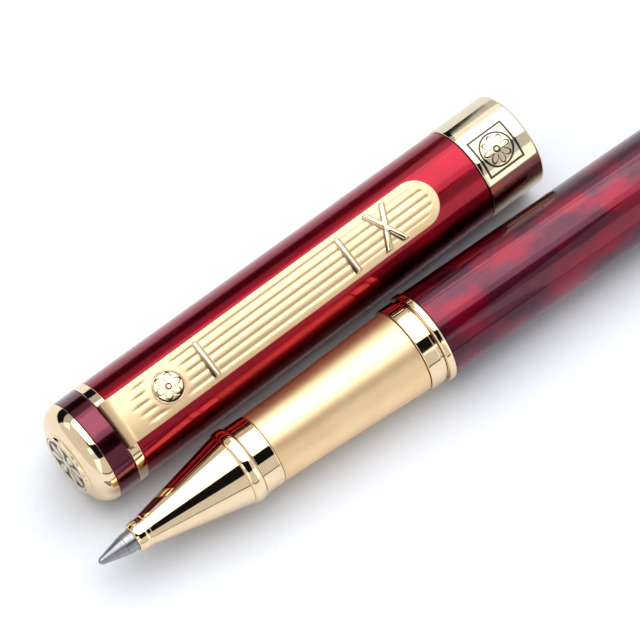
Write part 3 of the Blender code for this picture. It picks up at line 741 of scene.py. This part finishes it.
def make_thread(pen):
    """The core tube and its right-hand thread: the radius falls to the root as the station, less one
    pitch for each turn, moves away from the nearest crest."""
    front, back, bore, crest = pen.size("section_core")
    shoulder = pen.size("trim_ring")[0]
    core_r = pen.radius("section_core", front)
    rows = np.arange(shoulder + THREAD_LEAD, back - THREAD_CHAMFER, THREAD_PITCH / THREAD_ROWS)
    outline = rounded([
        (front, core_r, 0.05), (shoulder, core_r, 0.03), (shoulder, crest, 0.05),
        *[(s, crest, 0.0) for s in rows], (back - THREAD_LEAD, crest, 0.05),
        (back, crest - THREAD_CHAMFER, 0.05), (back, bore, 0.05), (front, bore, 0.05)])
    start, stop = shoulder + SHANK_START, back - THREAD_CHAMFER

    def cut(station, radius, angle):
        phase = np.abs(np.mod(station / THREAD_PITCH - angle / (2 * np.pi), 1.0) - 0.5) * 2
        ends = smooth(station, start, start + RUN_IN) * (1 - smooth(station, stop - RUN_OUT, stop))
        outside = radius > (core_r + crest) / 2
        return -THREAD_DEPTH * smooth(phase, *THREAD_FLANK) * ends * outside

    turned("threaded_core", pen, outline, "brass", "section", ["section_core"], 128, lift=cut)


def make_barrel(pen):
    """Marbled tube, straight at first and then drawn in slowly, with its end ring and domed end."""
    front, back, _, radius = pen.size("barrel_tube")
    end_r = pen.radius("barrel_tube", back)
    straight = front + BARREL_PARALLEL
    share = np.linspace(0, 1, FLARE_ROWS)
    taper = [(straight + (back - straight) * t, radius - (radius - end_r) * t ** BARREL_POWER, 0.0)
             for t in share[:-1]]
    station, reach = pen.spread("barrel_tube")
    front_bore = reach[station < front + AT_END].min()
    end_bore = end_r - (radius - front_bore)
    outline = rounded([
        (front, radius, 0.12), *taper, (back, end_r, 0.12), (back, end_bore, 0.04),
        (straight, end_bore, 0.05), (straight - BORE_LEAD, front_bore, 0.05), (front, front_bore, 0.04)])
    turned("marbled_barrel", pen, outline, "marbled_lacquer", "barrel", ["barrel_tube"])
    ring("polished_end_ring", pen, "barrel_end_ring", 0.45, "polished_gold", "barrel")
    spigot, tip, _, cap_r = pen.size("barrel_end_cap")
    dome_front, floor = pen.size("barrel_end_ring")[1] + SEAT_GAP, tip - END_FLOOR
    spigot_r = pen.radius("barrel_end_cap", spigot)
    dome = arc((dome_front, END_FLAT_R), (tip - dome_front, cap_r - END_FLAT_R), 0, 90, 32)
    outline = rounded([
        (floor, 0.0, 0.0), (floor, END_POCKET_R, 0.04), (spigot, END_POCKET_R, 0.04),
        (spigot, spigot_r, 0.05), (dome_front, spigot_r, 0.02), *dome, (tip, 0.0, 0.0)])
    turned("marbled_barrel_end", pen, outline, "marbled_lacquer", "barrel", ["barrel_end_cap"])


def make_spring(pen):
    """Round wire on a helix: each place along it carries the wire's circle, in the plane through the pen's axis."""
    front, back, _, outer = pen.size("refill_spring")
    coil_r = outer - SPRING_WIRE_R
    rows, columns = SPRING_TURNS * SPRING_ROWS + 1, WIRE_SIDES
    share = np.linspace(0, 1, rows)[:, None]
    round_wire = np.linspace(0, -2 * np.pi, columns, endpoint=False)[None, :]
    station = (front + SPRING_WIRE_R + (back - front - 2 * SPRING_WIRE_R) * share
               + SPRING_WIRE_R * np.sin(round_wire))
    radius = coil_r + SPRING_WIRE_R * np.cos(round_wire)
    points = pen.points(station, radius, 2 * np.pi * SPRING_TURNS * share)
    faces = grid_faces(rows, columns, False, True).tolist()
    faces += [list(range(columns))[::-1], list(range((rows - 1) * columns, rows * columns))]
    spring = add_piece("coiled_refill_spring", points, faces, "steel", "barrel", ["refill_spring"])
    pen.at(back, 0.0, 0.0).tolist()
    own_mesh(spring)


# ---- cap

def make_finial(cap):
    """Domed finial with a raised rim, its stud, and the rosette disc that sits in it."""
    front, end, _, radius = cap.size("cap_finial")
    band_front, _, band_bore, _ = cap.size("cap_head_band")
    _, disc_back, _, disc_r = cap.size("finial_disc")
    station, reach = cap.spread("cap_finial")
    rim_r, pocket_r = reach[station < front + AT_END].max(), disc_r + DISC_PLAY
    floor, dome_back = disc_back + SEAT_GAP, band_front - SEAT_GAP
    plug_r, stud_r = band_bore - STUD_PLAY, cap.radius("cap_finial", end)
    shoulder = cap.size("clip_ring")[1] - STUD_SHORT
    dome = arc((dome_back, rim_r), (dome_back - DOME_EDGE, radius - rim_r), -90, 0, 40)
    outline = rounded([
        (floor, 0.0, 0.0), (floor, pocket_r, 0.03), (front, pocket_r, 0.05), (front, rim_r, 0.12),
        *dome[1:-1], (dome_back, radius, 0.06), (dome_back, plug_r, 0.02), (shoulder, plug_r, 0.02),
        (shoulder, stud_r, 0.02), (end, stud_r, 0.10), (end, 0.0, 0.0)])
    turned("polished_finial", cap, outline, "polished_gold", "cap", ["cap_finial"])
    make_rosette_disc(cap)


def make_rosette_disc(cap):
    """The disc in the finial: a dark ground, sunk below a plain rim and eight raised petals.

    The petals fill the flower's edge. A spoke, half way between two of them, parts each pair.
    """
    front, back, _, disc_r = cap.size("finial_disc")
    field = disc_r - DISC_RIM

    def ground(station, radius, angle):
        scaled = radius / field
        petals = 1 - smooth(scaled - petal_edge(angle), -0.05, 0.02)
        from_spoke = scaled * np.sin(np.mod(angle, np.pi / 4) - np.pi / 8)
        spoke = line(from_spoke, SPOKE_WIDTH) * smooth(scaled, 0.2, 0.3)
        rim = smooth(scaled, 1.02, 1.06)
        return (1 - np.maximum(petals * (1 - spoke), rim)) * (station < front + 0.2)

    reach = np.concatenate([[0.0], np.linspace(0.05, disc_r - 0.02, 90)])
    rings = np.stack([np.full(len(reach), front), reach], -1)
    outline = np.concatenate([rings, [[front + DISC_EDGE, disc_r], [back, disc_r], [back, 0.0]]])
    disc = turned("rosette_disc", cap, outline, "engraved_gold", "cap", ["finial_disc"],
                  mark=ground).data
    sink = np.empty(len(disc.vertices), np.float32)
    disc.attributes["mark"].data.foreach_get("value", sink)
    corners = corners_of(disc) + sink[:, None] * DISC_SINK * MM * cap.along
    disc.vertices.foreach_set("co", corners.ravel())
    disc.update()


def make_cap(cap):
    """Head band, clip ring, red tube, lip band and the liner inside."""
    ring("dark_head_band", cap, "cap_head_band", 0.14, "dark_lacquer", "cap")
    make_clip_ring(cap)
    front, back, bore, radius = cap.size("cap_tube")
    end_r = cap.radius("cap_tube", back)
    outline = rounded([
        (front, radius, 0.12), (back, end_r, 0.12), (back, bore, 0.04), (front, bore, 0.04)])
    turned("red_cap_tube", cap, outline, "red_lacquer", "cap", ["cap_tube"])
    make_lip_band(cap)
    front, back, _, radius = cap.size("cap_inner_sleeve")
    liner_bore, floor = radius - LINER_WALL, front + LINER_FLOOR
    outline = rounded([
        (front, 0.0, 0.0), (front, radius, 0.10), (back, radius, 0.10), (back, liner_bore, 0.10),
        (floor, liner_bore, 0.20), (floor, 0.0, 0.0)])
    turned("cap_liner", cap, outline, "black_plastic", "cap", ["cap_inner_sleeve"], 96)


def make_clip_ring(cap):
    """A ring with a slot for the clip's root: the radius drops to the slot's floor inside it."""
    front, back, bore, _ = cap.size("clip_ring")
    radius = cap.radius("clip_ring", back)
    half = CLIP_WIDTH / 2 + NOTCH_ROOM
    floor = bore + SLOT_FLOOR
    slot_back = front + CLIP_THICKNESS + 2 * NOTCH_ROOM
    edge = math.asin(half / radius)
    outside = np.linspace(edge + SLOT_TURN, 2 * np.pi - edge - SLOT_TURN, ROUND)
    angles = np.unique(np.concatenate([outside, np.linspace(-edge, edge, 24) % (2 * np.pi)]))
    outline = rounded([
        (front, radius, 0.10), (slot_back, radius, 0.0), (slot_back + SLOT_STEP, radius, 0.0),
        (back, radius, 0.10), (back, bore, 0.03), (front, bore, 0.03)])

    def slot(station, radius, angle):
        from_up = np.abs((angle + np.pi) % (2 * np.pi) - np.pi)
        inside = (from_up <= edge + 1e-6) & (station <= slot_back)
        return np.where(inside, np.minimum(floor - radius, 0.0), 0.0)

    turned("polished_clip_ring", cap, outline, "polished_gold", "cap", ["clip_ring"],
           angles=angles, lift=slot)


def make_lip_band(cap):
    """Polished lip with a rounded mouth and an engraved square that holds a plain rosette.

    The square's lines lie where the larger of the distances along and round the band is half its
    side. Rows and columns are close together under the engraving and wide elsewhere.
    """
    front, back, bore, _ = cap.size("cap_lip_band")
    radius = cap.radius("cap_lip_band", back - LIP_ROUND)
    centre, half = front + MARK_FROM_LIP, MARK_SIZE / 2 + MARK_MARGIN
    reach = half / radius
    angles = np.concatenate([
        MARK_ANGLE + np.linspace(-reach, reach, MARK_ROWS, endpoint=False),
        MARK_ANGLE + np.linspace(reach, 2 * np.pi - reach, 130, endpoint=False)])
    rim = arc((back - LIP_ROUND, radius - LIP_ROUND), (LIP_ROUND, LIP_ROUND), 0, 90, 14)
    rows = [(s, radius, 0.0) for s in np.linspace(centre - half, centre + half, MARK_ROWS)]
    outline = rounded([
        (front, radius - 0.02, 0.16), *rows, *rim, (back, bore, 0.05), (front, bore, 0.04)])

    def engraving(station, radius_here, angle):
        along = station - centre
        round_it = radius * ((angle - MARK_ANGLE + np.pi) % (2 * np.pi) - np.pi)
        square = np.maximum(np.abs(along), np.abs(round_it)) - (MARK_SIZE - MARK_LINE) / 2
        circle = np.hypot(along, round_it) - MARK_CIRCLE_R
        drawing = np.maximum(line(square, MARK_LINE), line(circle, MARK_LINE * CIRCLE_LINE))
        flower = rosette_lines(along, round_it, MARK_CIRCLE_R * FLOWER_SHARE, MARK_LINE * FLOWER_LINE)
        return np.maximum(drawing, flower) * (radius_here > radius - 0.01)

    turned("engraved_lip_band", cap, outline, "engraved_gold", "cap", ["cap_lip_band"],
           angles=angles, lift=lambda *place: -MARK_DEPTH * engraving(*place), mark=engraving)


# ---- clip

def within_sides(across, inset):
    """1 in the middle of the clip, falling to 0 between two distances from its sides."""
    return 1 - smooth(np.abs(across), CLIP_WIDTH / 2 - inset[0], CLIP_WIDTH / 2 - inset[1])


def clip_bars(along, across):
    """The two cross bars, and the painted shade along their foot.

    A bar rises at once on the side of the clip's root and falls slowly on the other side.
    """
    from_bar = (along - np.where(along < np.mean(BAR_PLACES), *BAR_PLACES)) / BAR_WIDTH
    inside = within_sides(across, BAR_INSET)
    bars = smooth(from_bar, -0.50, -0.32) * (1 - smooth(from_bar, 0.05, 0.55)) * inside
    # The second value is painted shade: a dark band along the root side of each bar
    return bars, line(from_bar + 0.50, 0.50) * inside


def clip_straps(along, across):
    """The crossed strap, whose two arms lean opposite ways across the clip, and the painted shade beside it."""
    lean = 2 * STRAP_SPREAD * across / CLIP_WIDTH
    from_arm = np.stack([along - STRAP_PLACE - way * lean for way in (-1, 1)]) / STRAP_WIDTH
    inside = within_sides(across, STRAP_INSET)
    straps = np.max(1 - smooth(np.abs(from_arm), 0.30, 0.55), axis=0) * inside
    # The second value is painted shade: a dark band beside each arm
    return straps, np.max(line(from_arm + 0.50, 0.34), axis=0) * inside


def clip_grooves(along, across, edge):
    """Rounded valleys, bell curves at even steps across. They fade in behind the clip's root, the
    outer ones later, and fade out at its half-round end."""
    outer = RIB_PITCH * (RIB_COUNT - 1) / 2
    place = np.clip(np.round(across / RIB_PITCH) * RIB_PITCH, -outer, outer)
    valley = np.exp(-((across - place) / (RIB_WIDTH / 2)) ** 2)
    start = RIB_START + RIB_STAGGER * (np.abs(place) / outer)
    near_end = smooth(edge, RIB_MARGIN * 0.75, RIB_MARGIN * 1.15)
    end = np.where(along > BAR_PLACES[1], near_end, 1.0)
    return valley * smooth(along, start, start + RIB_FADE) * end


def clip_relief(along, across, edge):
    """Height, polish and painted shade of the clip's face, from the distance along it from its root, the distance
    across it from its middle, and the distance from its outline.

    The face falls with the square of the distance across. The bars, the strap and the medallion
    stand on it, and the grooves stop short of all of them.
    """
    far = smooth(across, -CLIP_WIDTH / 2, CLIP_WIDTH / 2)
    bars, bar_painted_shade = clip_bars(along, across)
    straps, strap_painted_shade = clip_straps(along, across)
    from_medal = np.hypot(along - MEDAL_PLACE, across)
    disc = 1 - smooth(from_medal, MEDAL_R - MEDAL_EDGE, MEDAL_R)
    rim = line(from_medal - (MEDAL_R - MEDAL_RIM), MEDAL_EDGE)
    flower = rosette_lines(along - MEDAL_PLACE, across, MEDAL_R - MEDAL_MARGIN, MEDAL_LINE, MEDAL_PETALS)
    lines = np.maximum(rim, flower)
    grooves = (clip_grooves(along, across, edge) * (1 - bars) * (1 - straps)
               * smooth(from_medal, MEDAL_R + MEDAL_ROOM[0], MEDAL_R + MEDAL_ROOM[1]))
    height = ((BAR_RISE[0] + BAR_RISE[1] * far) * bars + STRAP_RISE * straps
              + disc * (MEDAL_RISE - MEDAL_LINE_DEPTH * lines)
              - RIB_DEPTH * grooves - CROWN * (2 * across / CLIP_WIDTH) ** 2)
    polish = np.clip(bars + straps + disc, 0, 1)
    # Painted shade: the medallion's lines, and the feet of the bars and the strap, darker towards the far side of
    # the clip
    painted_shade = np.clip(disc * lines + far * (bar_painted_shade + strap_painted_shade), 0, 1)
    return height, polish, painted_shade


def make_clip(cap):
    """Sprung clip: a leg in the ring's slot, a round bend, and a ribbed blade with a half-round end.

    The face follows a path of straight, quarter circle and straight. Each row lies across the path
    and narrows to the half-round at the end. The edges are rounded by the distance to the outline,
    and a rounded foot stands under the end.
    """
    reach = cap.reach("clip_blade")
    station, height = reach @ cap.along, reach @ cap.up
    front, back, low, top = station.min(), station.max(), height.min(), height.max()
    half = CLIP_WIDTH / 2
    end_centre = back - half
    bend_up, bend_back = top - CLIP_BEND, front + CLIP_BEND
    leg = np.linspace(low, bend_up, 8, endpoint=False)
    turn = np.linspace(0, np.pi / 2, 22, endpoint=False)
    straight = np.linspace(bend_back, end_centre, CLIP_ROWS, endpoint=False)
    end = end_centre + half * np.sin(np.linspace(0, LAST_ROW, 56))
    blade = np.concatenate([straight, end])
    path_s = np.concatenate([np.full(len(leg), front), bend_back - CLIP_BEND * np.cos(turn), blade])
    path_h = np.concatenate([leg, bend_up + CLIP_BEND * np.sin(turn), np.full(len(blade), top)])
    out_s = np.concatenate([np.full(len(leg), -1.0), -np.cos(turn), np.zeros(len(blade))])
    out_h = np.concatenate([np.zeros(len(leg)), np.sin(turn), np.ones(len(blade))])
    beyond = np.maximum(path_s - end_centre, 0.0)
    width = np.sqrt(np.maximum(half ** 2 - beyond ** 2, 1e-6))

    close = EDGE_SHARE * (1 + np.sin(np.linspace(-np.pi / 2, np.pi / 2, 9)))
    share = np.unique(np.concatenate([np.linspace(-1, 1, CLIP_COLUMNS), close - 1, 1 - close]))
    across = width[:, None] * share[None, :]
    along = (path_s - front)[:, None] + 0 * across
    edge = half - np.hypot(across, beyond[:, None])
    into_edge = np.clip(CLIP_EDGE - edge, 0, CLIP_EDGE)
    drop = CLIP_EDGE - np.sqrt(np.maximum(CLIP_EDGE ** 2 - into_edge ** 2, 0))
    on_blade = out_h[:, None] > 0.999
    lift, polish, painted_shade = [layer * on_blade for layer in clip_relief(along, across, edge)]
    foot = ((1 - smooth(np.abs(path_s - end_centre), *FOOT_LENGTH))[:, None]
            * (1 - smooth(np.abs(across), *FOOT_WIDTH)))
    foot_depth = (top - CLIP_THICKNESS) - height[np.abs(station - end_centre) < 1.0].min()

    def carried(offset):
        return cap.at(path_s[:, None] + out_s[:, None] * offset,
                      path_h[:, None] + out_h[:, None] * offset, across)

    face = carried(lift - drop)
    under = carried(-CLIP_THICKNESS + drop - foot * foot_depth)
    # The shade attribute carries the painted shade of the medallion's lines and the feet of the bars and the strap
    slab("ribbed_clip", face, under, "clip_gold", "clip", ["clip_blade"],
         {"mark": polish, "painted_shade": painted_shade})


# ---- stage

def carry_over():
    """The pieces hidden inside keep their CAD surface and get a real finish."""
    kept = {
        "barrel_thread_bush": "brass", "cap_top_plug": "brass",
        "refill_tube": "steel", "refill_collar": "white_plastic", "refill_end_plug": "white_plastic",
        "refill_reservoir": "ink_fibre", "refill_feed_rod": "ink_fibre",
    }
    for name, finish in kept.items():
        piece = frame["nodes"][name]
        piece.data.materials.clear()
        piece.data.materials.append(FINISHES[finish])


def softbox(name, distance, lean, turn, length, width, radiance):
    """A rectangular light that faces the part. Lean is from straight up towards the pen's side of the
    table, and turn swings it from there towards the writing end, both in degrees."""
    lean, turn = math.radians(lean), math.radians(turn)
    way = Vector((-math.sin(turn), -math.sin(lean) * math.cos(turn), math.cos(lean) * math.cos(turn)))
    light = bpy.data.lights.new(name, "AREA")
    light.shape = "RECTANGLE"
    light.size, light.size_y = length, width
    light.energy = radiance * math.pi * length * width
    lamp = bpy.data.objects.new(name, light)
    lamp.location = way * distance
    back, along = way.normalized(), Vector((1, 0, 0))
    if abs(back.x) > 0.9:
        along = Vector((0, 1, 0))
    up = back.cross(along).normalized()
    along = up.cross(back).normalized()
    lamp.rotation_mode = "QUATERNION"
    lamp.rotation_quaternion = Matrix((along, up, back)).transposed().to_quaternion()
    bpy.context.scene.collection.objects.link(lamp)


def make_stage():
    """White table in a dim room, with the soft lights and cards round it."""
    half, low = TABLE_HALF, -TABLE_DROP
    corners = [(-half, -half, low), (half, -half, low), (half, half, low), (-half, half, low)]
    mesh = bpy.data.meshes.new("table_top")
    mesh.from_pydata(corners, [], [(0, 1, 2, 3)])
    mesh.materials.append(white_table())
    table = bpy.data.objects.new("table_top", mesh)
    bpy.context.scene.collection.objects.link(table)

    for light in SOFTBOXES:
        softbox(*light)

    world = bpy.data.worlds.new("dim_room")
    world.use_nodes = True
    tree = world.node_tree
    tree.nodes.clear()
    room = add_node(tree, "Background", {"Color": to_linear("#3c3f46"), "Strength": 0.25})
    beyond = add_node(tree, "Background", {"Color": to_linear("#f4f5f7"), "Strength": 1.0})
    seen = add_node(tree, "LightPath").outputs["Is Camera Ray"]
    both = add_node(tree, "MixShader", {
        0: seen, 1: room.outputs["Background"], 2: beyond.outputs["Background"]})
    add_node(tree, "OutputWorld", {"Surface": both.outputs["Shader"]})
    bpy.context.scene.world = world
    bpy.context.scene.view_settings.view_transform = "Standard"
    bpy.context.scene.view_settings.look = "Medium High Contrast"


def make_camera():
    """A long lens above the writing end, on the pen's side of the table."""
    level = math.cos(CAMERA_ELEVATION)
    back = Vector((math.sin(CAMERA_AZIMUTH) * level, -math.cos(CAMERA_AZIMUTH) * level,
                   math.sin(CAMERA_ELEVATION)))
    data = bpy.data.cameras.new("table_camera")
    data.sensor_width, data.lens = CAMERA_SENSOR, CAMERA_LENS
    data.clip_start, data.clip_end = 0.01, 20.0
    camera = bpy.data.objects.new("table_camera", data)
    camera.location = Vector(CAMERA_TARGET) + back * CAMERA_DISTANCE
    camera.rotation_mode = "QUATERNION"
    camera.rotation_quaternion = (-back).to_track_quat("-Z", "Y")
    bpy.context.scene.collection.objects.link(camera)
    bpy.context.scene.camera = camera


def main():
    """The whole scene, from the camera and the pen's point to the table."""
    make_camera()
    pen, cap = find_axes()
    FINISHES.update(make_finishes())
    make_point(pen)
    make_nose(pen)
    make_grip(pen)
    make_barrel(pen)
    make_spring(pen)
    make_finial(cap)
    make_cap(cap)
    make_clip(cap)
    carry_over()
    make_stage()


main()
